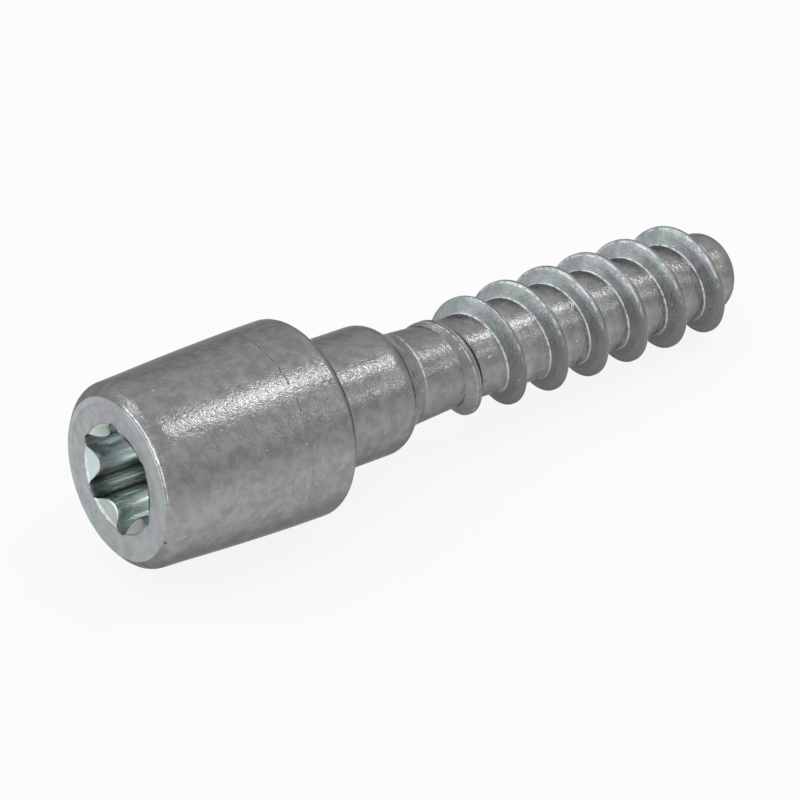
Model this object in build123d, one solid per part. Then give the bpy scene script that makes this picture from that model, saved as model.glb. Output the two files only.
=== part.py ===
"""One-piece steel screw with a tall cylindrical head, a six-lobe socket, a plain
locating collar, a slim neck and a coarse single-start right-hand thread.

It is drawn along its own axis, from the drive face (station 0) towards the
tip, and then laid down as it would come to rest: on the rear rim of the head
and on the thread crests that hang lowest.  +Z is up, +X runs from head to tip,
and the origin is under the middle of the part, on the surface that it lies on.
Sizes are in millimetres and degrees.
"""
import math
import os

from build123d import *

# Head: a tall cylinder with slight forging draft, widest at its rear
head_length = 8.5
head_rear_diameter = 8.0
head_taper = 0.32
head_belly_rise = 0.06

# Edges of the head and tip: a round that runs out into a cone
edge_angle = 50.0
face_edge_drop = 0.43
face_edge_round = 0.6
rear_edge_drop = 0.34
rear_edge_round = 0.4
tip_edge_drop = 0.48
tip_edge_round = 0.8

# Six-lobe socket, with a countersunk mouth and a drill-point floor
socket_across_lobes = 4.5
socket_lobe_depth = 0.625
socket_lobe_radius = 0.38
socket_depth = 2.9
socket_floor_angle = 120.0
countersink_reach = 0.525
countersink_angle = 118.0
socket_clocking = -9.4

# Collar below the head, which ends in a round, a short cone and a fillet
collar_diameter = 5.33
collar_length = 3.35
shoulder_angle = 48.0
shoulder_round = 0.85
neck_fillet = 0.3

# Neck and core of the shank, slightly waisted where the thread begins
core_diameter = 3.72
neck_swell = 0.08
neck_length = 1.59
waist_drop = 0.12
waist_run = 1.8
waist_recovery = 3.6
tip_drop = 0.11

# Coarse thread, which runs a little way onto the rounded edge of the tip
thread_diameter = 5.0
thread_pitch = 2.18
thread_turns = 7.22
thread_crest_width = 0.14
thread_flank_angle = 27.0
thread_clocking = 228.6
run_in_turns = 0.6
run_out_turns = 0.6
thread_root_sink = 0.13
thread_over_tip = 0.35

# How finely the thread's four long edges are drawn
stretches_per_turn = 2
points_per_stretch = 8
least_crest_share = 0.02

# The rounds beside a step take up at most this much of it
most_of_a_step = 0.9


def ramp_sizes(drop, angle, top_round, foot_fillet):
    """Round, fillet, height of the cone between them, and length of the whole ramp."""
    turn = math.radians(angle)
    bend = 1 - math.cos(turn)
    share = min(1, most_of_a_step * drop / bend / (top_round + foot_fillet))
    top = top_round * share
    foot = foot_fillet * share
    cone_drop = drop - (top + foot) * bend
    length = (top + foot) * math.sin(turn) + cone_drop / math.tan(turn)
    return top, foot, cone_drop, length


def ramp(start, heading, drop, angle, top_round, foot_fillet=0):
    """A step down towards the axis: a round, a cone and, where wanted, a fillet."""
    turn = math.radians(angle)
    top, foot, cone_drop, _ = ramp_sizes(drop, angle, top_round, foot_fillet)
    rounding = JernArc(start, (heading, 0), top, -heading * angle)
    cone_start = rounding @ 1
    cone_end = cone_start + Vector(heading * cone_drop / math.tan(turn), -cone_drop)
    pieces = [rounding, Line(cone_start, cone_end)]
    if foot:
        down_the_cone = (heading * math.cos(turn), -math.sin(turn))
        pieces.append(JernArc(cone_end, down_the_cone, foot, heading * angle))
    return pieces


# Radii of the turned blank
head_rear_radius = head_rear_diameter / 2
head_front_radius = head_rear_radius - head_taper
collar_radius = collar_diameter / 2
core_radius = core_diameter / 2
neck_radius = core_radius + neck_swell
waist_radius = core_radius - waist_drop
tip_radius = core_radius - tip_drop

# Ramps and stations along the axis, each from the one before it
face_ramp = (face_edge_drop, edge_angle, face_edge_round, 0)
rear_ramp = (rear_edge_drop, edge_angle, rear_edge_round, 0)
shoulder_ramp = (collar_radius - neck_radius, shoulder_angle, shoulder_round, neck_fillet)
tip_ramp = (tip_edge_drop, edge_angle, tip_edge_round, 0)
head_front = ramp_sizes(*face_ramp)[3]
head_rear = head_length - ramp_sizes(*rear_ramp)[3]
collar_end = head_length + collar_length
neck_start = collar_end + ramp_sizes(*shoulder_ramp)[3]
thread_start = neck_start + neck_length
waist_station = thread_start + waist_run
core_start = waist_station + waist_recovery
thread_end = thread_start + thread_pitch * thread_turns
tip_start = thread_end - thread_over_tip
tip_end = tip_start + ramp_sizes(*tip_ramp)[3]

# The ridge's foot runs below the waist, so that it never leaves the core
foot_radius = waist_radius - thread_root_sink
full_height = thread_diameter / 2 - foot_radius


def head_outline():
    """Half section of the head, from the axis at the drive face to the seat."""
    belly_station = (head_front + head_rear) / 2
    belly_radius = (head_front_radius + head_rear_radius) / 2 + head_belly_rise
    front_edge = (head_front, head_front_radius)
    rear_edge = (head_rear, head_rear_radius)
    side = ThreePointArc(front_edge, (belly_station, belly_radius), rear_edge)
    face = Line((0, 0), (0, head_front_radius - face_edge_drop))
    return [face, *ramp(front_edge, -1, *face_ramp), side, *ramp(rear_edge, 1, *rear_ramp)]


def collar_outline():
    """Half section of the flat seat below the head and of the collar, to the neck."""
    seat = Line((head_length, head_rear_radius - rear_edge_drop), (head_length, collar_radius))
    side = Line((head_length, collar_radius), (collar_end, collar_radius))
    return [seat, side, *ramp((collar_end, collar_radius), 1, *shoulder_ramp)]


def shank_outline():
    """Half section of the neck, waist, core and tip, and back along the axis."""
    core = Polyline(
        (neck_start, neck_radius),
        (waist_station, waist_radius),
        (core_start, core_radius),
        (tip_start, tip_radius),
    )
    tip_face = Line((tip_end, tip_radius - tip_edge_drop), (tip_end, 0))
    return [core, *ramp((tip_start, tip_radius), 1, *tip_ramp), tip_face, Line((tip_end, 0), (0, 0))]


def turned_blank():
    """Head, collar, neck and core, without socket or thread."""
    outline = head_outline() + collar_outline() + shank_outline()
    edges = [edge for piece in outline for edge in piece.edges()]
    return revolve(Plane.XZ * make_face(edges), Axis.X)


def socket_outline():
    """Six lobes, joined by six ridges that are tangent to them."""
    outer_reach = socket_across_lobes / 2
    lobe_centre = outer_reach - socket_lobe_radius
    ridge_reach = outer_reach - socket_lobe_depth
    half_step = math.radians(30)
    span = lobe_centre * math.cos(half_step)
    ridge_radius = (
        ridge_reach**2 + lobe_centre**2 - 2 * ridge_reach * span - socket_lobe_radius**2
    ) / (2 * (socket_lobe_radius + span - ridge_reach))
    ridge_centre = ridge_reach + ridge_radius

    def polar(radius, angle):
        return Vector(radius * math.cos(angle), radius * math.sin(angle))

    def touch(lobe_angle, ridge_angle):
        """Where a lobe and its neighbouring ridge are tangent."""
        lobe = polar(lobe_centre, lobe_angle)
        ridge = polar(ridge_centre, ridge_angle)
        share = socket_lobe_radius / (socket_lobe_radius + ridge_radius)
        return lobe + (ridge - lobe) * share

    arcs = []
    for lobe in range(6):
        middle = lobe * 2 * half_step
        before = middle - half_step
        after = middle + half_step
        lobe_start = touch(middle, before)
        lobe_end = touch(middle, after)
        next_start = touch(middle + 2 * half_step, after)
        arcs.append(ThreePointArc(lobe_start, polar(outer_reach, middle), lobe_end))
        arcs.append(ThreePointArc(lobe_end, polar(ridge_reach, after), next_start))
    return make_face(arcs)


def pointed(station, radius, angle):
    """A cone from a disc at the station to a point farther in."""
    depth = radius / math.tan(math.radians(angle / 2))
    section = Polyline((station, 0), (station, radius), (station + depth, 0), close=True)
    return revolve(Plane.XZ * make_face(section), Axis.X)


def socket():
    """Everything that is pressed into the drive face."""
    mouth = Plane(origin=(0, 0, 0), x_dir=(0, 0, 1), z_dir=(1, 0, 0))
    lobes = extrude(mouth * (Rot(0, 0, socket_clocking) * socket_outline()), socket_depth)
    ridge_reach = socket_across_lobes / 2 - socket_lobe_depth
    floor = pointed(socket_depth, ridge_reach, socket_floor_angle)
    countersink = pointed(0, ridge_reach + countersink_reach, countersink_angle)
    return lobes + floor + countersink


def crest_share(turn):
    """Share of the full thread height: it grows over the run-in and dies at the run-out."""
    rise = 1 - math.exp(-turn / run_in_turns)
    left = (thread_turns - turn) / run_out_turns
    fall = math.sin(min(left, 1) * math.pi / 2)
    return max(rise * fall, least_crest_share)


def thread_point(turn, side, on_crest):
    """A point on one long edge of the ridge: its foot or crest, on either side."""
    angle = math.radians(thread_clocking) + 2 * math.pi * turn
    height = full_height * crest_share(turn)
    radius = foot_radius
    half_width = thread_crest_width / 2
    if on_crest:
        radius += height
    else:
        half_width += height * math.tan(math.radians(thread_flank_angle))
    station = thread_start + thread_pitch * turn + side * half_width
    return Vector(station, -radius * math.sin(angle), radius * math.cos(angle))


def thread_edge(start_turn, end_turn, side, on_crest):
    """One stretch of such an edge, as a smooth curve that carries on into the next."""
    count = points_per_stretch
    turns = [start_turn + (end_turn - start_turn) * index / count for index in range(count + 1)]
    points = [thread_point(turn, side, on_crest) for turn in turns]
    nudge = 1e-4
    tangents = []
    for turn in (start_turn, end_turn):
        ahead = thread_point(turn + nudge, side, on_crest)
        behind = thread_point(turn - nudge, side, on_crest)
        tangents.append((ahead - behind) * (0.5 / nudge))
    return Edge.make_spline(points, tangents=tangents, parameters=turns, scale=False)


def thread():
    """The raised helical ridge: two flanks, a narrow crest and a foot inside the core."""
    corners = ((-1, False), (-1, True), (1, True), (1, False))
    stretches = math.ceil(thread_turns * stretches_per_turn)
    faces = []
    for index in range(stretches):
        start_turn = thread_turns * index / stretches
        end_turn = thread_turns * (index + 1) / stretches
        edges = [thread_edge(start_turn, end_turn, *corner) for corner in corners]
        for number, edge in enumerate(edges):
            following = edges[(number + 1) % len(edges)]
            faces.append(Face.make_surface_from_curves(edge, following))
    for turn in (0, thread_turns):
        ends = [thread_point(turn, *corner) for corner in corners]
        faces.append(Face.make_surface(Polyline(*ends, close=True).edges()))
    return Solid(Shell(faces))


def resting_dip():
    """Tilt at which the head's rear rim and the lowest thread crest touch one plane."""
    rim_round = ramp_sizes(*rear_ramp)[0]
    rim_radius = head_rear_radius - rim_round
    dips = []
    turn = (180 - thread_clocking) / 360 % 1
    while turn < thread_turns:
        run = thread_start + thread_pitch * turn + thread_crest_width / 2 - head_rear
        drop = rim_radius - foot_radius - full_height * crest_share(turn)
        dips.append(math.atan2(drop, run) + math.asin(rim_round / math.hypot(run, drop)))
        turn += 1
    return math.degrees(min(dips))


dip = resting_dip()
screw = Rot(0, dip, 0) * (turned_blank() - socket() + thread())
box = screw.bounding_box()
screw = Pos(-box.center().X, -box.center().Y, -box.min.Z) * screw

os.makedirs("parts", exist_ok=True)
export_step(screw, "parts/screw.step")
print("dip", round(dip, 3), "degrees, middle of the drive face", screw.position)
print("size", screw.bounding_box().size, "volume", round(screw.volume, 2))
print("stations", collar_end, round(neck_start, 3), round(thread_start, 3), round(tip_end, 3))
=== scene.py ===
import math

import bpy
from mathutils import Matrix, Vector


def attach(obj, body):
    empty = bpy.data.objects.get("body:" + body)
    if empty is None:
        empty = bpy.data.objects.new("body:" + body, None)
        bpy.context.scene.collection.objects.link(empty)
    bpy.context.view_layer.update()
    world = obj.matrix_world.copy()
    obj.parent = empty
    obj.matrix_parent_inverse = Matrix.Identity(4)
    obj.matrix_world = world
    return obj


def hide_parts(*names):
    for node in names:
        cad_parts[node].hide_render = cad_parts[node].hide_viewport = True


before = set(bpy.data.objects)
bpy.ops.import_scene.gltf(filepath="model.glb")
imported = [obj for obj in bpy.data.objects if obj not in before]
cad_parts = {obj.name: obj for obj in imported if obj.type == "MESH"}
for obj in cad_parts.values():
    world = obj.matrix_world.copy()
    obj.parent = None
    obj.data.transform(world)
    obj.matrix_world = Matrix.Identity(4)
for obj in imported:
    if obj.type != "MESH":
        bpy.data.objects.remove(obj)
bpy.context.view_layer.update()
print("1: frame loaded")

mm = 0.001
bodyName = "root"

# how the screw lies: its own axis runs from the middle of the drive face towards the tip
lie = {
    "faceCentre": (-15.2631, 0.0, 4.60768),  # mm
    "dip": 4.418,  # degrees, tip down
}
ownPlace = Matrix.Translation(Vector(lie["faceCentre"]) * mm)
ownAxis = ownPlace @ Matrix.Rotation(math.radians(lie["dip"]), 4, "Y")

# camera, floor and light, in metres and degrees
cameraLook = {
    "place": (-0.068353, -0.083064, 0.072570),
    "tilt": 56.689,  # from straight down
    "turn": -38.74,
    "lens": 144.0,
    "sensor": 36.0,
    "nearest": 0.001,
}
studio = {
    "white": (1, 1, 1, 1),
    "floorSize": 4.0,
    "floorColour": (0.95, 0.95, 0.95, 1),
    "floorRoughness": 0.9,
    "floorWhite": 0.72,  # how far the floor that the metal sees goes to white
    "floorShown": 0.15,  # and how much further for the camera
    "worldColour": (0.70, 0.70, 0.70, 1),
    "horizonColour": (0.79, 0.79, 0.79, 1),  # what metal shows level with it, and white higher up
    "horizonEnds": (0.1, 0.75),  # it goes over to white between these heights, straight up being 1
    "lampTarget": (0, 0, 0.004),
    "lamps": (  # name, place, length along the screw, width, power
        ("keyLamp", (0.160, -0.077, 0.238), 0.090, 0.028, 0.086),
        ("fillLamp", (0.215, -0.215, 0.135), 0.026, 0.026, 0.018),
        ("backLamp", (-0.170, 0.130, 0.190), 0.090, 0.090, 0.060),
        ("leftLamp", (-0.280, -0.010, 0.070), 0.038, 0.038, 0.055),
    ),
}


def clearSelection():
    if bpy.context.object and bpy.context.object.mode != "OBJECT":
        bpy.ops.object.mode_set(mode="OBJECT")
    bpy.ops.object.select_all(action="DESELECT")


def addCamera():
    clearSelection()
    turned = (math.radians(cameraLook["tilt"]), 0, math.radians(cameraLook["turn"]))
    bpy.ops.object.camera_add(location=cameraLook["place"], rotation=turned)
    camera = bpy.context.object
    camera.data.lens = cameraLook["lens"]
    camera.data.sensor_width = cameraLook["sensor"]
    camera.data.clip_start = cameraLook["nearest"]
    bpy.context.scene.camera = camera


addCamera()
print("2: camera set")


# materials are written as expressions of signals
class Signal:  # one output of a node
    def __init__(self, finish, socket):
        self.finish = finish
        self.socket = socket

    def output(self, name):
        return Signal(self.finish, self.socket.node.outputs[name])

    def maths(self, operation, first, second=0.0):
        return self.finish.node("ShaderNodeMath", {"operation": operation}, {0: first, 1: second})

    def __add__(self, other):
        return self.maths("ADD", self, other)

    def __sub__(self, other):
        return self.maths("SUBTRACT", self, other)

    def __rsub__(self, other):
        return self.maths("SUBTRACT", other, self)

    def __mul__(self, other):
        return self.maths("MULTIPLY", self, other)

    def __truediv__(self, other):
        return self.maths("DIVIDE", self, other)

    def __rtruediv__(self, other):
        return self.maths("DIVIDE", other, self)

    def __pow__(self, other):
        return self.maths("POWER", self, other)

    def __rpow__(self, other):
        return self.maths("POWER", other, self)

    def __neg__(self):
        return self * -1

    __radd__ = __add__
    __rmul__ = __mul__

    def angleFrom(self, other):
        return self.maths("ARCTAN2", self, other)

    def remainder(self):
        return self.maths("FRACT", self)

    def size(self):
        return self.maths("ABSOLUTE", self)

    def atLeast(self, other):
        return self.maths("MAXIMUM", self, other)

    def lifted(self, least):  # least where this is 0, and still 1 where this is 1
        return least + (1 - least) * self

    def ramp(self, zero, one, fading=None, gone=None):
        # 0 at the first number and 1 at the second; with four, 1 up to the third and 0 again at the fourth
        if one < zero:
            return (zero - self).ramp(0, zero - one)
        share = self.finish.node(
            "ShaderNodeMapRange",
            {"interpolation_type": "SMOOTHSTEP"},
            {"Value": self, "From Min": zero, "From Max": one},
        )
        return share if gone is None else share * self.ramp(gone, fading)

    def vectorMaths(self, operation, other, output=0):
        return self.finish.node("ShaderNodeVectorMath", {"operation": operation}, {0: self, 1: other}, output)

    def along(self, direction):  # how far this vector reaches in a direction
        return self.vectorMaths("DOT_PRODUCT", direction, "Value")

    def times(self, factors):
        return self.vectorMaths("MULTIPLY", factors)

    def minus(self, other):
        return self.vectorMaths("SUBTRACT", other)


class Finish:  # the node tree of one material or of the world
    def __init__(self, owner):
        self.owner = owner
        owner.use_nodes = True
        self.tree = owner.node_tree
        self.tree.nodes.clear()

    def node(self, kind, settings=None, sockets=None, output=0):
        made = self.tree.nodes.new(kind)
        for name, value in (settings or {}).items():
            if name == "stops":
                for number, (place, colour) in enumerate(value):
                    stops = made.color_ramp.elements
                    stop = stops[number] if number < 2 else stops.new(place)
                    stop.position = place
                    stop.color = colour
            else:
                setattr(made, name, value)
        for name, value in (sockets or {}).items():
            if isinstance(value, Signal):
                self.tree.links.new(value.socket, made.inputs[name])
            else:
                made.inputs[name].default_value = value
        return Signal(self, made.outputs[output]) if made.outputs else None

    def blend(self, share, first, second, how="MIX"):  # colours
        settings = {"data_type": "RGBA", "blend_type": how, "clamp_factor": True}
        return self.node("ShaderNodeMix", settings, {0: share, 6: first, 7: second}, 2)

    def multiplied(self, first, second, share=1.0):  # colours
        return self.blend(share, first, second, "MULTIPLY")

    def level(self, share, first, second):  # numbers
        return self.node("ShaderNodeMix", {"data_type": "FLOAT"}, {0: share, 2: first, 3: second})

    def vector(self, x=0, y=0, z=0):
        return self.node("ShaderNodeCombineXYZ", sockets={0: x, 1: y, 2: z})

    def noise(self, place, scale, detail, roughness):
        sockets = {"Vector": place, "Scale": scale, "Detail": detail, "Roughness": roughness}
        return self.node("ShaderNodeTexNoise", None, sockets, "Fac")

    def cells(self, place, scale):
        return self.node("ShaderNodeTexVoronoi", None, {"Vector": place, "Scale": scale}, "Distance")

    def colours(self, value, stops):
        return self.node("ShaderNodeValToRGB", {"stops": stops}, {"Fac": value}, "Color")

    def cameraRays(self):
        return self.node("ShaderNodeLightPath", output="Is Camera Ray")

    def seenRays(self):  # the camera's rays, with those that metal and glass send on
        rays = self.cameraRays()
        return rays.atLeast(rays.output("Is Glossy Ray")).atLeast(rays.output("Is Transmission Ray"))


def makeWorld():
    world = bpy.context.scene.world or bpy.data.worlds.new("studioWorld")
    bpy.context.scene.world = world
    sky = Finish(world)
    up = sky.node("ShaderNodeTexCoord", output="Generated").along((0, 0, 1))
    shown = sky.blend(up.ramp(*studio["horizonEnds"]), studio["horizonColour"], studio["white"])
    colour = sky.blend(sky.seenRays(), studio["worldColour"], shown)
    light = sky.node("ShaderNodeBackground", sockets={"Color": colour, "Strength": 1.0})
    sky.node("ShaderNodeOutputWorld", sockets={"Surface": light})


def makeFloor():
    clearSelection()
    bpy.ops.mesh.primitive_plane_add(size=studio["floorSize"])
    floor = bpy.context.object
    floor.name = "floor"
    finish = Finish(bpy.data.materials.new("paleFloor"))
    surface = finish.node(
        "ShaderNodeBsdfPrincipled",
        sockets={
            "Base Color": studio["floorColour"],
            "Roughness": studio["floorRoughness"],
            "Specular IOR Level": 0.0,
        },
    )
    white = finish.node("ShaderNodeEmission", sockets={"Color": studio["white"], "Strength": 1.0})
    share = finish.seenRays() * studio["floorWhite"] + finish.cameraRays() * studio["floorShown"]
    both = finish.node("ShaderNodeMixShader", sockets={0: share, 1: surface, 2: white})
    finish.node("ShaderNodeOutputMaterial", sockets={"Surface": both})
    floor.data.materials.append(finish.owner)


def addLamp(name, place, length, width, power):
    clearSelection()
    bpy.ops.object.light_add(type="AREA", location=place)
    lamp = bpy.context.object
    lamp.name = name
    lamp.data.shape = "RECTANGLE"
    lamp.data.size = length
    lamp.data.size_y = width
    lamp.data.energy = power
    back = (Vector(place) - Vector(studio["lampTarget"])).normalized()
    along = (Vector((1, 0, 0)) - back * back.x).normalized()
    lamp.rotation_euler = Matrix((along, back.cross(along), back)).transposed().to_euler()


makeWorld()
makeFloor()
for lampSettings in studio["lamps"]:
    addLamp(*lampSettings)
bpy.context.scene.view_settings.view_transform = "Standard"
print("3: floor and light")


# the screw, drawn along its own axis in mm, from the drive face (station 0); angles are in degrees
head = {
    "sides": 144,
    "frontRadius": 3.665,
    "rearRadius": 4.0,
    "length": 8.5,
    "bellyRise": 0.045,
    "bellyStart": 0.7,
    "bellyEnd": 0.45,  # before the rear edge
    "sideRows": 8,
    "cornerRows": 6,
    "edgeAngle": 50.0,
    "faceRing": 0.3,  # the flat ring that the turned line starts with
    "faceDrop": 0.43,
    "faceRound": 0.6,
    "faceCorner": 0.06,
    "rearDrop": 0.34,
    "rearRound": 0.4,
    "seatCorner": 0.06,
}
collar = {
    "radius": 2.665,
    "length": 3.35,
    "rootFillet": 0.15,
    "angle": 40.0,
    "shoulderRound": 1.0,
    "neckFillet": 1.3,
}
shank = {
    "neckRadius": 1.94,
    "neckStart": 13.0148,
    "seam": 13.75,  # where the neck meets the threaded mesh
    "waistStation": 16.4048,
    "waistRadius": 1.74,
    "coreStart": 20.0048,
    "coreRadius": 1.86,
    "tipStart": 29.9953,
    "tipRadius": 1.75,
    "tipEnd": 30.77,
    "tipRound": 0.8,
    "tipInset": 0.12,
    "tipRise": 0.02,
    "easing": 0.9,  # the reach over which a corner of the core's line is eased
    "easingSamples": 9,
}
thread = {
    "start": 14.6048,
    "pitch": 2.18,
    "turns": 7.22,
    "clocking": 228.6,
    "outerRadius": 2.5,
    "footRadius": 1.61,
    "crestWidth": 0.14,
    "crestUneven": 0.10,
    "crestWaves": ((9.7, 1.0), (4.3, 0.0)),  # two waves along the crest: how close, and shifted by
    "lipSpread": 0.11,  # how much wider the crest is at the run-in, where its two lips are still open
    "lipTurns": 0.62,  # the turns over which the lips close, and below, the groove and the flanks
    "lapDepth": 0.022,
    "lapUneven": (0.55, 0.45),  # plain share of the depth, and how far the waves move it
    "lapWaves": ((7.9, 0.6), (3.1, 2.0)),
    "lapOpening": 1.2,  # how much deeper the groove is at the run-in
    "lapTurns": 0.6,
    "lapPlace": 0.34,  # how far from its middle the groove is shaped, in shares of the crest's half width
    "lapShare": 0.55,  # and the share of its depth that it has there
    "shoulderPlace": 0.72,  # where the crest is highest, in shares of its half width
    "shoulderDrop": 0.02,  # and how much lower its edges are
    "flankAngle": 27.0,
    "openAngle": 24.0,  # how much flatter the flanks are where the thread begins
    "openTurns": 0.7,
    "rootFillet": 0.10,
    "fullHeight": 0.3,  # a lower ridge has smaller fillets and a shallower groove
    "runIn": 0.6,
    "runOut": 0.6,
    "footTries": 5,
    "rootRows": 6,
    "filletRows": 4,
    "flankRows": 3,
    "spareTurns": 0.1,  # of the strip, more than both ends need
}
socket = {
    "sides": 288,
    "lobes": 6,
    "acrossLobes": 4.5,
    "lobeDepth": 0.625,
    "lobeRadius": 0.38,
    "depth": 2.9,
    "floorAngle": 120.0,
    "floorRound": 0.05,
    "floorStep": 0.02,
    "floorRing": 0.3,  # the smallest ring round the point of the floor
    "sinkRadius": 2.15,
    "sinkAngle": 118.0,
    "sinkRows": (0.5, 0.93),  # shares of the way down the sink
    "wallRows": (0, 1.0, 2.0),
    "clocking": -9.4,
    "mouthRound": 0.04,
    "mouthMiddle": (0.3, 0.25),  # a point on the mouth's round, outwards and down
    "startRadius": 2.0,
    "rowGap": 0.2,
}


def rounded(corners, rows):
    # corners are (station, radius, rounding); each rounding becomes an arc of points
    line = [Vector(corners[0][:2])]
    for before, corner, after in zip(corners, corners[1:], corners[2:]):
        place = Vector(corner[:2])
        back = (Vector(before[:2]) - place).normalized()
        ahead = (Vector(after[:2]) - place).normalized()
        if corner[2] == 0:
            line.append(place)
            continue
        half = back.angle(ahead) / 2
        reach = corner[2] / math.tan(half)
        middle = place + (back + ahead).normalized() * (corner[2] / math.sin(half))
        first = place + back * reach - middle
        last = place + ahead * reach - middle
        for row in range(rows + 1):
            line.append(middle + Matrix.Rotation(-first.angle_signed(last) * row / rows, 2) @ first)
    line.append(Vector(corners[-1][:2]))
    return line


def blankLine():
    # half of the section of the head, collar and neck
    rise = math.tan(math.radians(head["edgeAngle"]))
    front = head["faceDrop"] / rise
    rear = head["length"] - head["rearDrop"] / rise
    faceRadius = head["frontRadius"] - head["faceDrop"]
    corners = [
        (0, faceRadius - head["faceRing"], 0),
        (0, faceRadius, head["faceCorner"]),
        (front, head["frontRadius"], head["faceRound"]),
    ]
    for row in range(1, head["sideRows"]):
        share = row / head["sideRows"]
        station = head["bellyStart"] + (rear - head["bellyEnd"] - head["bellyStart"]) * share
        radius = head["frontRadius"] + (head["rearRadius"] - head["frontRadius"]) * share
        belly = head["bellyRise"] * (1 - (2 * share - 1) ** 2)
        corners.append((station, radius + belly, 0))
    fall = math.tan(math.radians(collar["angle"]))
    shoulder = head["length"] + collar["length"]
    shoulder += collar["shoulderRound"] * math.tan(math.radians(collar["angle"] / 2))
    coneEnd = shoulder + (collar["radius"] - shank["neckRadius"]) / fall
    corners += [
        (rear, head["rearRadius"], head["rearRound"]),
        (head["length"], head["rearRadius"] - head["rearDrop"], head["seatCorner"]),
        (head["length"], collar["radius"], collar["rootFillet"]),
        (shoulder, collar["radius"], collar["shoulderRound"]),
        (coneEnd, shank["neckRadius"], collar["neckFillet"]),
        (shank["seam"], coreAt(shank["seam"]), 0),
    ]
    return rounded(corners, head["cornerRows"])


def eased(value, knots):
    # straight runs between knots, with their corners eased over a short reach
    samples = shank["easingSamples"]
    total = 0
    for number in range(samples):
        place = value + shank["easing"] * (number / (samples - 1) - 0.5)
        for (x0, r0), (x1, r1) in zip(knots, knots[1:]):
            if place <= x1 or (x1, r1) == knots[-1]:
                total += r0 + (r1 - r0) * (place - x0) / (x1 - x0)
                break
    return total / samples


def coreAt(station):
    # radius of the neck, the core under the thread and the tip
    knots = [
        (shank["neckStart"], shank["neckRadius"]),
        (shank["waistStation"], shank["waistRadius"]),
        (shank["coreStart"], shank["coreRadius"]),
        (shank["tipStart"], shank["tipRadius"]),
    ]
    past = station - shank["tipStart"]
    if past <= 0:
        return eased(station, knots)
    angle = math.radians(head["edgeAngle"])
    roundEnd = shank["tipRound"] * math.sin(angle)
    if past < roundEnd:
        drop = shank["tipRound"] - math.sqrt(shank["tipRound"] ** 2 - past**2)
    else:
        drop = shank["tipRound"] * (1 - math.cos(angle)) + (past - roundEnd) * math.tan(angle)
    return shank["tipRadius"] - drop


def turnedBlank():
    line = blankLine()
    clearSelection()
    bpy.ops.mesh.primitive_circle_add(
        vertices=head["sides"],
        radius=line[0].y * mm,
        location=(line[0].x * mm, 0, 0),
        rotation=(0, math.pi / 2, 0),
    )
    blank = bpy.context.object
    blank.name = "cheeseHeadScrew"
    bpy.ops.object.transform_apply(location=True, rotation=True, scale=True)
    bpy.ops.object.mode_set(mode="EDIT")
    bpy.ops.mesh.select_all(action="SELECT")
    for before, point in zip(line, line[1:]):
        share = point.y / before.y
        step = ((point.x - before.x) * mm, 0, 0)
        bpy.ops.mesh.extrude_edges_move(TRANSFORM_OT_translate={"value": step})
        bpy.ops.transform.resize(value=(1, share, share), center_override=(point.x * mm, 0, 0))
    bpy.ops.object.mode_set(mode="OBJECT")
    return blank


def crestShare(turn):
    # how much of its full height the ridge has, from the run-in to the run-out
    if turn <= 0 or turn >= thread["turns"]:
        return 0.0
    rise = 1 - math.exp(-turn / thread["runIn"])
    left = min((thread["turns"] - turn) / thread["runOut"], 1)
    return rise * math.sin(left * math.pi / 2)


def atRunIn(turn, reach):
    # 1 where the thread begins, and nearly 0 two reaches further on
    return math.exp(-((max(turn, 0) / reach) ** 2))


def wandering(turn, waves):
    (firstWave, firstShift), (secondWave, secondShift) = waves
    return math.sin(firstWave * turn + firstShift) * math.sin(secondWave * turn + secondShift)


def crestHalf(turn):
    # half of the crest's width: open and double-lipped at the run-in, then narrow and slightly uneven
    spread = thread["lipSpread"] * atRunIn(turn, thread["lipTurns"])
    uneven = 1 + thread["crestUneven"] * wandering(turn, thread["crestWaves"])
    return thread["crestWidth"] / 2 * uneven + spread


def lapDepth(turn):
    # the groove that thread rolling leaves along the crest
    plain, uneven = thread["lapUneven"]
    wander = plain + uneven * wandering(turn, thread["lapWaves"])
    return thread["lapDepth"] * wander * (1 + thread["lapOpening"] * atRunIn(turn, thread["lapTurns"]))


def flankAngle(turn):
    return math.radians(thread["flankAngle"] + thread["openAngle"] * atRunIn(turn, thread["openTurns"]))


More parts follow.
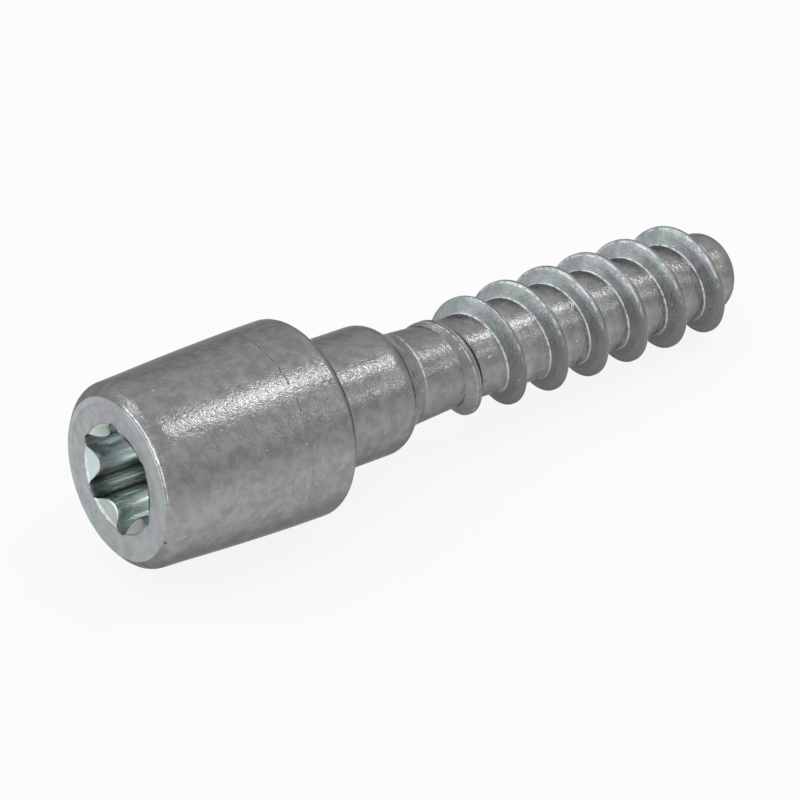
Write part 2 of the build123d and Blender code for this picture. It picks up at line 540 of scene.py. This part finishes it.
def ridgeSide(turn, side):
    # (station, radius) points of one side, from the middle of the root up to the crest
    middle = thread["start"] + thread["pitch"] * turn
    half = thread["pitch"] / 2
    slope = math.tan(flankAngle(turn))
    share = crestShare(turn)
    crest = thread["footRadius"] + (thread["outerRadius"] - thread["footRadius"]) * share
    top = crestHalf(turn)
    foot = top
    for number in range(thread["footTries"]):  # the foot moves out until it meets the core
        root = coreAt(middle + side * foot)
        height = max(crest - root, 0) if share > 0 else 0
        foot = top + height * slope
    full = min(height / thread["fullHeight"], 1)
    fillet = thread["rootFillet"] * full
    bend = math.pi / 2 - flankAngle(turn)
    reach = fillet * math.tan(bend / 2)
    points = []
    for row in range(thread["rootRows"]):
        points.append((half + (foot + reach - half) * row / thread["rootRows"], 0))
    for row in range(thread["filletRows"] + 1):
        angle = bend * row / thread["filletRows"]
        points.append((foot + reach - fillet * math.sin(angle), fillet * (1 - math.cos(angle))))
    placed = [(middle + side * along, coreAt(middle + side * along) + rise) for along, rise in points]
    lastAlong = points[-1][0]
    lastRadius = placed[-1][1]
    crest = max(crest, lastRadius) if share > 0 else lastRadius
    rim = crest - thread["shoulderDrop"] * full
    for row in range(1, thread["flankRows"] + 1):
        part = row / thread["flankRows"]
        along = lastAlong + (top - lastAlong) * part
        placed.append((middle + side * along, lastRadius + (rim - lastRadius) * part))
    groove = lapDepth(turn) * thread["lapShare"] * full
    for part, drop in ((thread["shoulderPlace"], 0), (thread["lapPlace"], groove)):
        station = middle + side * top * part
        placed.append((station, crest - drop if share > 0 else coreAt(station)))
    return placed


def ridgeRow(turn):
    # one section of the thread, from the middle of one root to the middle of the next
    before = ridgeSide(turn, -1)
    after = ridgeSide(turn, 1)
    station = (before[-1][0] + after[-1][0]) / 2
    radius = (before[-1][1] + after[-1][1]) / 2
    if crestShare(turn) > 0:
        full = min((radius - coreAt(station)) / thread["fullHeight"], 1)
        radius -= lapDepth(turn) * (1 - thread["lapShare"]) * full
    placed = []
    for place, reach in before + [(station, radius)] + after[::-1]:
        inside = min(max(place, shank["seam"]), shank["tipEnd"])
        if inside != place or reach < coreAt(inside):
            reach = coreAt(inside)
        placed.append((inside, reach))
    return placed


def threadedShank():
    sides = head["sides"]
    half = 0.5  # of a turn, by which the strip goes past both ends
    firstTurn = (shank["seam"] - thread["start"]) / thread["pitch"] - half
    lastTurn = (shank["tipEnd"] - thread["start"]) / thread["pitch"] + half
    phase = thread["clocking"] / 360
    firstStep = math.floor((firstTurn + phase) * sides)
    whole = math.ceil(lastTurn - firstTurn + thread["spareTurns"])
    count = len(ridgeRow(1.0))
    clearSelection()
    bpy.ops.mesh.primitive_plane_add(size=mm)
    strip = bpy.context.object
    strip.name = "threadedShank"
    bpy.ops.object.mode_set(mode="EDIT")
    bpy.ops.mesh.merge(type="CENTER")
    bpy.ops.transform.translate(value=(0, 0, thread["outerRadius"] * mm))
    for number in range(count - 1):
        step = (thread["pitch"] / count * mm, 0, 0)
        bpy.ops.mesh.extrude_region_move(TRANSFORM_OT_translate={"value": step})
    bpy.ops.object.mode_set(mode="OBJECT")
    spots = sorted(range(count), key=lambda index: strip.data.vertices[index].co.x)
    turning = strip.modifiers.new("turning", "SCREW")
    turning.axis = "X"
    turning.angle = 2 * math.pi
    turning.screw_offset = thread["pitch"] * mm
    turning.steps = sides
    turning.render_steps = sides
    turning.iterations = whole
    bpy.ops.object.modifier_apply(modifier=turning.name)
    # the plain helical strip is shaped row by row into root, flanks and crest
    for number in range(len(strip.data.vertices) // count):
        turn = (firstStep + number) / sides - phase
        angle = 2 * math.pi * (turn + phase)
        for spot, (station, radius) in zip(spots, ridgeRow(turn)):
            place = (station, -radius * math.sin(angle), radius * math.cos(angle))
            strip.data.vertices[number * count + spot].co = Vector(place) * mm
    return strip


def ridgeReach():
    # distance from the axis to the tips of the ridges between the lobes
    return socket["acrossLobes"] / 2 - socket["lobeDepth"]


def lobeRadius(angle):
    # distance from the axis to the wall of the six-lobe socket
    lobe = socket["lobeRadius"]
    lobeCentre = socket["acrossLobes"] / 2 - lobe
    reach = ridgeReach()
    step = math.pi / socket["lobes"]
    span = lobeCentre * math.cos(step)
    ridge = (reach**2 + lobeCentre**2 - 2 * reach * span - lobe**2) / (2 * (lobe + span - reach))
    ridgeCentre = reach + ridge
    angle = abs((angle + step) % (2 * step) - step)
    ridgeMiddle = Vector((ridgeCentre * math.cos(step), ridgeCentre * math.sin(step)))
    touch = Vector((lobeCentre, 0)).lerp(ridgeMiddle, lobe / (lobe + ridge))
    if angle < math.atan2(touch.y, touch.x):
        across = lobeCentre * math.sin(angle)
        return lobeCentre * math.cos(angle) + math.sqrt(lobe**2 - across**2)
    away = step - angle
    across = ridgeCentre * math.sin(away)
    return ridgeCentre * math.cos(away) - math.sqrt(ridge**2 - across**2)


def socketPoint(ring=0):
    # depth of the pointed floor, at a ring round its middle
    return socket["depth"] + (ridgeReach() - ring) / math.tan(math.radians(socket["floorAngle"] / 2))


def socketRows():
    # each row gives (depth, distance from the axis) for one angle
    slope = math.tan(math.radians(socket["sinkAngle"] / 2))
    edge = socket["mouthRound"]
    outwards, down = socket["mouthMiddle"]
    floorRound = socket["floorRound"]
    stepDepth = socket["depth"] + socket["floorStep"]

    def mouth(out, depth):
        return lambda angle: (depth, max(lobeRadius(angle), socket["sinkRadius"]) + out)

    def sink(share):
        def row(angle):
            wall = lobeRadius(angle)
            start = max(wall, socket["sinkRadius"])
            bottom = (start - wall) / slope
            depth = edge + (bottom - edge) * share if bottom > edge else edge
            return depth, start + (wall - start) * share

        return row

    def wall(depth):
        def row(angle):
            radius = lobeRadius(angle)
            start = max(socket["sinkRadius"] - radius, 0) / slope + edge
            return max(depth, start), radius

        return row

    rows = [mouth(edge, 0), mouth(edge * outwards, edge * down), mouth(0, edge)]
    rows += [sink(share) for share in socket["sinkRows"]]
    rows += [wall(depth) for depth in (*socket["wallRows"], socket["depth"] - floorRound)]
    rows += [
        lambda angle: (socket["depth"], lobeRadius(angle) - floorRound),
        lambda angle: (stepDepth, min(lobeRadius(angle), ridgeReach()) - floorRound),
        lambda angle: (socketPoint(socket["floorRing"]), socket["floorRing"]),
    ]
    return rows


def pressedSocket():
    clearSelection()
    bpy.ops.mesh.primitive_circle_add(
        vertices=socket["sides"],
        radius=socket["startRadius"] * mm,
        rotation=(0, math.pi / 2, 0),
    )
    recess = bpy.context.object
    recess.name = "recess"
    bpy.ops.object.transform_apply(location=True, rotation=True, scale=True)
    rows = socketRows()
    gap = socket["rowGap"] * mm
    bpy.ops.object.mode_set(mode="EDIT")
    bpy.ops.mesh.select_all(action="SELECT")
    for row in rows[1:]:
        bpy.ops.mesh.extrude_edges_move(TRANSFORM_OT_translate={"value": (gap, 0, 0)})
    bpy.ops.mesh.edge_face_add()
    bpy.ops.mesh.poke()
    bpy.ops.object.mode_set(mode="OBJECT")
    # the plain tube is shaped ring by ring into the mouth, walls and floor
    twist = math.radians(socket["clocking"])
    for vertex in recess.data.vertices:
        if math.hypot(vertex.co.y, vertex.co.z) < socket["startRadius"] * mm / 2:
            vertex.co = Vector((socketPoint(), 0, 0)) * mm
            continue
        angle = math.atan2(-vertex.co.y, vertex.co.z)
        depth, radius = rows[round(vertex.co.x / gap)](angle - twist)
        vertex.co = Vector((depth, -radius * math.sin(angle), radius * math.cos(angle))) * mm
    return recess


joining = {
    "mergeReach": 0.001,  # mm, and so is the next
    "leastEdge": 0.0001,
    "smoothAngle": 30,  # degrees, an edge that bends further stays sharp
}


def joinAll(first, others):
    clearSelection()
    for piece in [first, *others]:
        piece.select_set(True)
    bpy.context.view_layer.objects.active = first
    bpy.ops.object.join()


def selectOpenEdges(piece, onTip):
    # the open edges at the tip, or those at the drive face
    bpy.ops.mesh.select_all(action="DESELECT")
    bpy.ops.object.mode_set(mode="OBJECT")
    uses = {}
    for face in piece.data.polygons:
        for key in face.edge_keys:
            uses[key] = uses.get(key, 0) + 1
    for edge in piece.data.edges:
        station = piece.data.vertices[edge.vertices[0]].co.x / mm
        edge.select = uses.get(edge.key, 0) == 1 and (station > shank["tipStart"]) == onTip
    bpy.ops.object.mode_set(mode="EDIT")


def makeScrew():
    screw = turnedBlank()
    joinAll(screw, [threadedShank(), pressedSocket()])
    bpy.ops.object.mode_set(mode="EDIT")
    bpy.ops.mesh.select_all(action="SELECT")
    bpy.ops.mesh.remove_doubles(threshold=joining["mergeReach"] * mm)
    bpy.ops.mesh.dissolve_degenerate(threshold=joining["leastEdge"] * mm)
    bpy.ops.mesh.select_mode(type="EDGE")
    # the drive face is filled in from the socket's mouth to the head, and the tip is closed
    selectOpenEdges(screw, onTip=False)
    bpy.ops.mesh.fill(use_beauty=True)
    selectOpenEdges(screw, onTip=True)
    bpy.ops.mesh.edge_face_add()
    bpy.ops.mesh.inset(thickness=shank["tipInset"] * mm, depth=shank["tipRise"] * mm)
    bpy.ops.mesh.poke()
    bpy.ops.mesh.select_all(action="SELECT")
    bpy.ops.mesh.normals_make_consistent(inside=False)
    bpy.ops.object.mode_set(mode="OBJECT")
    screw.data.transform(ownAxis)
    return screw


screw = makeScrew()
print("4: screw modelled", len(screw.data.vertices), "vertices")

# the colours of the zinc plating and of its clear, faintly coloured film, with painted highlights, painted
# light and painted shade among them
zinc = {
    "dark": (0.205, 0.205, 0.204, 1),
    "light": (0.275, 0.275, 0.274, 1),
    "pit": (0.10, 0.097, 0.094, 1),
    "scratchAndHighlight": (0.72, 0.73, 0.74, 1),  # for the scratches, which are wear, and for the painted highlight lines along the thread's roots, crests and lips and round the neck
    "faceDark": (0.40, 0.405, 0.41, 1),  # on the drive face
    "faceLight": (0.49, 0.495, 0.50, 1),
    "edgeHighlight": (0.88, 0.93, 1.0, 1),  # painted highlights: the bright lines at the rim of the drive face and of the socket
    "flankDark": (0.325, 0.342, 0.35, 1),  # on the flanks towards the drive face
    "flankLight": (0.435, 0.455, 0.465, 1),
    # painted shade on the lower flanks
    "flankPaintedShade": (0.212, 0.212, 0.211, 1),
    # painted highlight along one side of the socket's mouth edge
    "mouth": (0.62, 0.64, 0.65, 1),
    "sinkPlain": (0.46, 0.50, 0.485, 1),
    # painted shade and painted highlight on the sink's facets, by the side that they lie on
    "sinkPaintedShade": (0.31, 0.30, 0.305, 1),
    "sinkPaintedHighlight": (0.60, 0.74, 0.70, 1),
    "socketFilm": (
        (0.30, (0.74, 0.66, 0.70, 1)),
        (0.44, (0.62, 0.67, 0.72, 1)),
        (0.55, (0.61, 0.70, 0.64, 1)),
        (0.68, (0.76, 0.80, 0.66, 1)),
    ),
    "edgeTint": (0.50, 0.50, 0.50, 1),
    # the next ones multiply the colour that they lie on
    "warm": (1.01, 1.0, 0.985, 1),
    "cool": (0.995, 1.0, 1.008, 1),
    "below": (1.36, 1.36, 1.36, 1),  # painted light: lighter along the -Y side, about half way up
    "frontRound": (1.0, 0.99, 0.98, 1),
    "neckRoot": (1.4, 1.4, 1.4, 1),  # painted light on the cone behind the collar, which sees only the neck
    "threadRoot": (1.7, 1.7, 1.7, 1),  # painted light on the core beside a flank, which sees only that flank
    "faceBand": (1.10, 1.15, 1.13, 1),
    "faceRing": (0.86, 0.85, 0.86, 1),
    # painted shade and painted light on the socket's walls
    "wallPaintedShade": (0.68, 0.65, 0.67, 1),
    "wallPaintedLight": (1.46, 1.50, 1.46, 1),
    "brushDark": (0.72, 0.77, 0.76, 1),
    "brushLight": (1.12, 1.12, 1.12, 1),
    "film": (
        (0.30, (1.00, 0.965, 1.03, 1)),
        (0.43, (0.965, 1.0, 1.035, 1)),
        (0.55, (0.93, 1.02, 0.99, 1)),
        (0.68, (0.98, 1.01, 0.99, 1)),
    ),
}

# its unevenness, from clouds down to grain: the grid that it is drawn on, waves per mm, detail, roughness
zincNoise = {
    "cloud": ("plain", 0.30, 2, 0.5),
    "mottle": ("plain", 2.3, 3, 0.55),
    "dapple": ("plain", 4.6, 2, 0.5),
    "grain": ("plain", 7.6, 2, 0.6),
    "speck": ("plain", 15.0, 1, 0.5),
    "filmDrift": ("plain", 0.6, 2, 0.5),
    # the next one breaks up the painted highlight along the crests
    "crestWear": ("plain", 3.4, 1, 0.5),
    "turned": ("turned", 1.0, 3, 0.6),
    "wallFilm": ("walls", 1.0, 3, 0.5),
    "brushing": ("brushed", 1.0, 2, 0.5),
    "scratching": ("scratched", 1.0, 1, 0.5),
    "scratchGroups": ("mirrored", 0.9, 1, 0.5),
}
zincGrids = {  # stretched along the screw, upwards and sideways
    "turned": (15, 0.35, 0.35),
    "walls": (0.30, 0.8, 0.8),
    "brushed": (14, 9, 1),  # outwards and round the screw
    "scratched": ((0.55, 0.25, 0), (-4, 9, 0), (3, 0, 9)),  # three slanted directions
}
zincSpots = {  # cells per mm, which of a cell's three random numbers sizes its spot, the rest in cells
    "pit": {"scale": 1.0, "draw": (1, 0, 0), "size": 0.12, "smaller": 0.02, "edge": 0.05, "ragged": 0.10},
    "fleck": {"scale": 3.6, "draw": (0, 1, 0), "size": 0.26, "smaller": 0.10, "edge": 0.10, "ragged": 0.20},
}

# further measures: those that a noise moves by so much, and sums of so much side and so much height
zincWander = {
    "grainyMottle": ("mottle", "grain", 0.3),
    "speckledMottle": ("mottle", "speck", 0.4),
    "dieStation": ("station", "dapple", 0.06),
    "rimRadius": ("radius", "dapple", 0.05),
}
zincSlants = {
    "lowSlant": (-0.4, -1.0),
    "brightSlant": (0.8, -0.2),
    "dullSlant": (-1.0, -0.3),
}
zincLines = {
    "lipDistance": 0.19,  # mm from the middle of the crest to a lip where the thread begins
    "lipClosing": 0.11,  # and how much less a turn further on
    "outerRimLine": 0.75,  # its strength beside the inner one
}

# where each mark lies: it is 0 at a range's first number and 1 at the second, and with four numbers 0 again
# at the last. Station is mm from the drive face, radius, side and height are mm from the axis, fromCrest and
# fromLip are mm along the screw, ridgeTurn counts the thread's turns, upness goes from -1 under the axis to
# 1 over it, and facing is 1 on what faces as the drive face does. The others are noises
zincMarks = {
    "lighter": {"grainyMottle": (0.30, 0.70)},
    "cooler": {"cloud": (0.35, 0.65)},
    "patches": {"speckledMottle": (0.32, 0.68)},
    "thread": {"station": (14, 14.5)},
    "face": {"facing": (0.975, 0.99)},
    "faceBand": {"radius": (2.93, 3.0), "side": (0.3, 2.2)},
    "faceRing": {"radius": (2.89, 2.92, 2.96, 3.0), "side": (0.3, 2.2), "height": (-0.4, 0.8)},
    "flank": {"facing": (0.62, 0.80), "ridgeTurn": (0.75, 1.25)},
    # painted shade, darker towards the underside
    "flankPaintedShade": {"lowSlant": (-1.2, 0.5)},
    "headRear": {"station": (5.2, 8.0, 8.5, 8.6)},
    "frontRound": {"station": (0.9, 0.4), "mottle": (0.42, 0.60)},
    # painted light along the lower -Y side, full on the head and half on the rest
    "below": {"upness": (-0.65, -0.25, 0.05, 0.42), "side": (0, -1)},
    "belowWide": {"radius": (2.9, 3.2)},
    # the next two are where painted light lifts the colour in the roots; there the plating is also rougher
    # and its relief smoothed
    "neckRoot": {"station": (12.30, 12.48, 12.85, 13.15)},
    "threadRoot": {"fromCrest": (0.95, 0.60), "radius": (2.2, 2.05), "ridgeTurn": (0.8, 1.4)},
    "threadRootLow": {"height": (0.1, -1.0)},
    "socket": {"radius": (2.30, 2.25), "station": (0.008, 0.03, 4.8, 5.0)},
    # painted shade on the middle of the socket's far wall, painted light lower down
    "wallPaintedShade": {"side": (0.8, 1.2), "height": (-0.6, -1.1)},
    "wallPaintedLight": {"side": (0.9, 0.5), "height": (-0.6, -1.1)},
    "sink": {"facing": (0.78, 0.84), "station": (0.6, 0.5)},
    # painted highlight on the facets towards +Y, painted shade on those towards -Y
    "sinkPaintedHighlight": {"brightSlant": (0.4, 1.5)},
    "sinkPaintedShade": {"dullSlant": (0.4, 1.2)},
    "brushLines": {"brushing": (0.38, 0.60)},
    "brushed": {"side": (0.6, 1.0), "height": (-1.0, -1.4)},
    "mouthEdge": {"station": (0.002, 0.010, 0.06, 0.11), "radius": (2.04, 2.07, 2.28, 2.32)},
    # painted highlight and painted glints along the socket's mouth edge, on one side
    "mouth": {"side": (-0.9, 0.2)},
    "mouthBright": {"side": (0.1, 0.6), "height": (0.3, -0.5)},
    "scratch": {"scratching": (0.70, 0.76), "scratchGroups": (0.55, 0.62)},
    "bead": {"dapple": (0.34, 0.56)},
    "dieMark": {"dieStation": (6.16, 6.19), "station": (6.25, 6.22), "mottle": (0.46, 0.58)},
    # the next ones place the painted highlight lines at the roots, crests, lips and neck
    "rootLine": {"facing": (0.16, 0.40, 0.70, 0.86), "radius": (2.10, 2.04), "ridgeTurn": (0.85, 1.25)},
    "rootLineHigh": {"height": (-1.0, 0.8)},
    "crestLine": {"radius": (2.36, 2.40, 2.435, 2.455), "crestWear": (0.44, 0.56), "height": (0.4, 1.4)},
    "lips": {"fromLip": (-0.03, -0.015, 0.0, 0.015), "ridgeTurn": (0.0, 0.1, 0.8, 1.1)},
    "lipsHigh": {"height": (0.0, 1.2)},
    "neckLine": {"station": (13.40, 13.42, 13.46, 13.48)},
    "neckLineHigh": {"height": (0.4, 1.2), "side": (0.6, -0.2)},
    "lap": {"fromCrest": (0.035, 0.015), "radius": (2.30, 2.40), "ridgeTurn": (0.9, 1.3)},
    # painted highlight lines round the face's rim, on its upper -Y side, broken by a noise
    "outerRimLine": {"rimRadius": (3.265, 3.28, 3.31, 3.33)},
    "innerRimLine": {"rimRadius": (3.175, 3.19, 3.22, 3.235)},
    "rimLines": {"side": (0.1, -1.0), "height": (0.0, 1.5), "station": (0.3, 0.2)},
    "rimLinesBroken": {"mottle": (0.40, 0.52)},
}
zincLeast = {  # how much of a mark is left where a second one would take it away
    "below": 0.50,
    "threadRoot": 0.20,
    "rootLine": 0.30,
    "rootBead": 0.20,
    "lips": 0.35,
    "neckLine": 0.15,
    "rimLines": 0.45,
    "mouthBright": 0.35,
}
zincUneven = {  # strength of a mark where a noise, or the beads of a line, is 0, and how much it adds at 1
    "sinkPaintedHighlight": (0.70, 0.40),
    "sinkPaintedShade": (0.65, 0.50),
    "sink": (0.75, 0.35),
    "lap": (0.15, 0.35),
}
zincLayers = {  # marks laid over the colour, each with its strength and its own colour
    "outside": (
        ("dieMark", 0.55, "pit"),
        # painted highlight lines
        ("lines", 0.90, "scratchAndHighlight"),
        ("lap", 1.0, "pit"),
        # painted highlight round the face's rim
        ("rimLines", 1.0, "edgeHighlight"),
    ),
    "all": (
        # painted highlight and painted glints at the socket's mouth
        ("mouth", 1.0, "mouth"),
        ("mouthBright", 1.0, "edgeHighlight"),
        ("fleck", 0.30, "pit"),
        ("pit", 0.75, "pit"),
        ("scratch", 0.60, "scratchAndHighlight"),
    ),
}
zincRoughness = {  # of the plain plating, and how much each of the others adds
    "plain": 0.25,
    "mottle": 0.16,
    "grain": 0.42,
    "pit": 0.3,
    "scratch": -0.1,
    "least": 0.12,
    "neckRoot": 0.30,
    "threadRoot": 0.20,
    "end": 0.12,  # what faces along the screw is duller
    "socket": 0.22,
    "socketGrain": 0.08,
}
zincRelief = {  # how much each adds, in shares of the depth below
    "mottle": 0.40,
    "dapple": 0.50,
    "grain": 0.95,
    "speck": 0.45,
    "turnedRear": 1.0,
    "pit": -0.9,
    "fleck": -0.3,
    "scratch": -0.3,
    "dieMark": -1.2,
}
zincSmoothed = {"socket": 0.93, "threadRoot": 0.85, "neckRoot": 0.95}  # how much of the relief is lost
zincReliefDepth = 0.014 * mm


def screwMeasures(finish):
    # where the surface lies on the screw, and its unevenness there
    source = finish.node("ShaderNodeTexCoord", output="Object")
    tilt = math.radians(lie["dip"])
    alongAxis = (math.cos(tilt), 0, -math.sin(tilt))
    acrossAxis = (math.sin(tilt), 0, math.cos(tilt))
    place = source.minus(tuple(value * mm for value in lie["faceCentre"])).times((1 / mm, 1 / mm, 1 / mm))
    station = place.along(alongAxis)
    height = place.along(acrossAxis)
    side = place.along((0, 1, 0))
    radius = (height * height + side * side) ** 0.5
    around = (-side).angleFrom(height) / (2 * math.pi)
    turnsAlong = (station - thread["start"]) / thread["pitch"]
    pastCrest = (turnsAlong - around + thread["clocking"] / 360 + 0.5).remainder() - 0.5
    ridgeTurn = turnsAlong - pastCrest
    fromCrest = (pastCrest * thread["pitch"]).size()
    lipAt = zincLines["lipDistance"] - ridgeTurn * zincLines["lipClosing"]
    at = {
        "station": station,
        "height": height,
        "side": side,
        "radius": radius,
        "upness": height / radius,
        "facing": -source.output("Normal").along(alongAxis),
        "ridgeTurn": ridgeTurn,
        "fromCrest": fromCrest,
        "fromLip": fromCrest - lipAt,
    }
    own = finish.vector(station, height, side)
    grids = {
        "plain": place,
        "mirrored": place.times((1, 1, -1)),
        "turned": own.times(zincGrids["turned"]),
        "walls": own.times(zincGrids["walls"]),
        "brushed": finish.vector(radius, around).times(zincGrids["brushed"]),
        "scratched": finish.vector(*(own.along(slant) for slant in zincGrids["scratched"])),
    }
    for name, (grid, scale, detail, roughness) in zincNoise.items():
        at[name] = finish.noise(grids[grid], scale, detail, roughness)
    for name, spots in zincSpots.items():
        cells = finish.cells(place, spots["scale"])
        drawn = cells.output("Color").along(spots["draw"]) * spots["size"] - spots["smaller"]
        away = cells + (at["grain"] - 0.5) * spots["ragged"]
        at[name] = (drawn - away).ramp(0, spots["edge"])
    for name, (measure, noise, amount) in zincWander.items():
        at[name] = at[measure] + (at[noise] - 0.5) * amount
    for name, (sideShare, heightShare) in zincSlants.items():
        at[name] = side * sideShare + height * heightShare
    return at


def addMarks(at):
    for name, ranges in zincMarks.items():
        ramps = [at[measure].ramp(*numbers) for measure, numbers in ranges.items()]
        at[name] = math.prod(ramps[1:], start=ramps[0])
    bead = at["bead"]
    at["turnedRear"] = at["turned"] * at["headRear"]
    at["flank"] *= at["thread"]
    at["flankPaintedShade"] *= at["flank"]
    at["end"] = (at["face"] * (1 - at["thread"])).atLeast(at["flank"])
    at["below"] *= at["belowWide"].lifted(zincLeast["below"])
    at["threadRoot"] *= at["thread"] * at["threadRootLow"].lifted(zincLeast["threadRoot"])
    # in the socket
    at["sink"] *= at["socket"]
    # painted highlight and painted glints along the mouth edge
    at["mouthBright"] *= at["mouthEdge"] * bead.lifted(zincLeast["mouthBright"])
    at["mouth"] *= at["mouthEdge"]
    # painted highlight lines, strongest on the upper side: beaded where the front flank meets the core,
    # broken along the crest, two at the run-in, and one round the neck
    at["rootLine"] *= at["thread"] * bead.lifted(zincLeast["rootBead"])
    at["rootLine"] *= at["rootLineHigh"].lifted(zincLeast["rootLine"])
    at["crestLine"] *= at["flank"]
    at["lips"] *= bead * at["lipsHigh"].lifted(zincLeast["lips"])
    at["neckLine"] *= (bead * at["neckLineHigh"]).lifted(zincLeast["neckLine"])
    at["lines"] = at["rootLine"].atLeast(at["crestLine"]).atLeast(at["lips"]).atLeast(at["neckLine"])
    at["lap"] *= at["thread"]
    bothRimLines = at["innerRimLine"].atLeast(at["outerRimLine"] * zincLines["outerRimLine"])
    at["rimLines"] *= bothRimLines * at["rimLinesBroken"].lifted(zincLeast["rimLines"])
    for name, noise in (("sinkPaintedHighlight", "grain"), ("sinkPaintedShade", "grain"), ("sink", "speck"), ("lap", "bead")):
        plain, uneven = zincUneven[name]
        at[name] *= plain + at[noise] * uneven


def zincColour(finish, at):
    def tinted(colour, *names):
        for name in names:
            colour = finish.multiplied(colour, zinc[name], at[name])
        return colour

    def layered(colour, layers):
        for name, strength, layerColour in layers:
            colour = finish.blend(at[name] * strength, colour, zinc[layerColour])
        return colour

    body = finish.blend(at["lighter"], zinc["dark"], zinc["light"])
    body = finish.multiplied(body, finish.blend(at["cooler"], zinc["warm"], zinc["cool"]))
    # painted light along the lower -Y side and in the roots
    body = tinted(body, "frontRound", "below", "neckRoot", "threadRoot")

    face = finish.blend(at["patches"], zinc["faceDark"], zinc["faceLight"])
    face = tinted(face, "faceBand", "faceRing")
    flank = finish.blend(at["patches"], zinc["flankDark"], zinc["flankLight"])
    film = finish.colours(at["filmDrift"], zinc["film"])
    end = finish.multiplied(finish.blend(at["thread"], face, flank), film)
    end = finish.blend(at["flankPaintedShade"], end, zinc["flankPaintedShade"])
    colour = layered(finish.blend(at["end"], body, end), zincLayers["outside"])

    wall = tinted(finish.colours(at["wallFilm"], zinc["socketFilm"]), "wallPaintedShade", "wallPaintedLight")
    sink = finish.blend(at["sinkPaintedHighlight"], zinc["sinkPlain"], zinc["sinkPaintedHighlight"])
    sink = finish.blend(at["sinkPaintedShade"], sink, zinc["sinkPaintedShade"])
    brushed = finish.blend(at["brushLines"], zinc["brushDark"], zinc["brushLight"])
    sink = finish.multiplied(sink, brushed, at["brushed"])
    colour = finish.blend(at["sink"], finish.blend(at["socket"], colour, wall), sink)
    return layered(colour, zincLayers["all"])


def zincGloss(finish, at):
    mottle, grain = at["mottle"] - 0.5, at["grain"] - 0.5
    plating = zincRoughness["plain"] + mottle * zincRoughness["mottle"] + grain * zincRoughness["grain"]
    for name in ("pit", "scratch"):
        plating += at[name] * zincRoughness[name]
    plating = plating.atLeast(zincRoughness["least"])
    for name in ("neckRoot", "threadRoot", "end"):
        plating += at[name] * zincRoughness[name]
    wall = zincRoughness["socket"] + grain * zincRoughness["socketGrain"]
    return finish.level(at["socket"], plating, wall)


def zincBump(finish, at):
    relief = sum(at[name] * share for name, share in zincRelief.items())
    for name, share in zincSmoothed.items():
        relief *= 1 - at[name] * share
    sockets = {"Height": relief, "Strength": 1.0, "Distance": zincReliefDepth}
    return finish.node("ShaderNodeBump", sockets=sockets)


def zincMaterial():
    finish = Finish(bpy.data.materials.new("zincPlated"))
    at = screwMeasures(finish)
    addMarks(at)
    metal = finish.node(
        "ShaderNodeBsdfPrincipled",
        sockets={
            "Base Color": zincColour(finish, at),
            "Metallic": 1.0,
            "Roughness": zincGloss(finish, at),
            "Specular Tint": zinc["edgeTint"],
            "Normal": zincBump(finish, at),
        },
    )
    finish.node("ShaderNodeOutputMaterial", sockets={"Surface": metal})
    return finish.owner


screw.data.materials.append(zincMaterial())
clearSelection()
screw.select_set(True)
bpy.context.view_layer.objects.active = screw
bpy.ops.object.shade_smooth_by_angle(angle=math.radians(joining["smoothAngle"]))

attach(screw, bodyName)
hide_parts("screw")
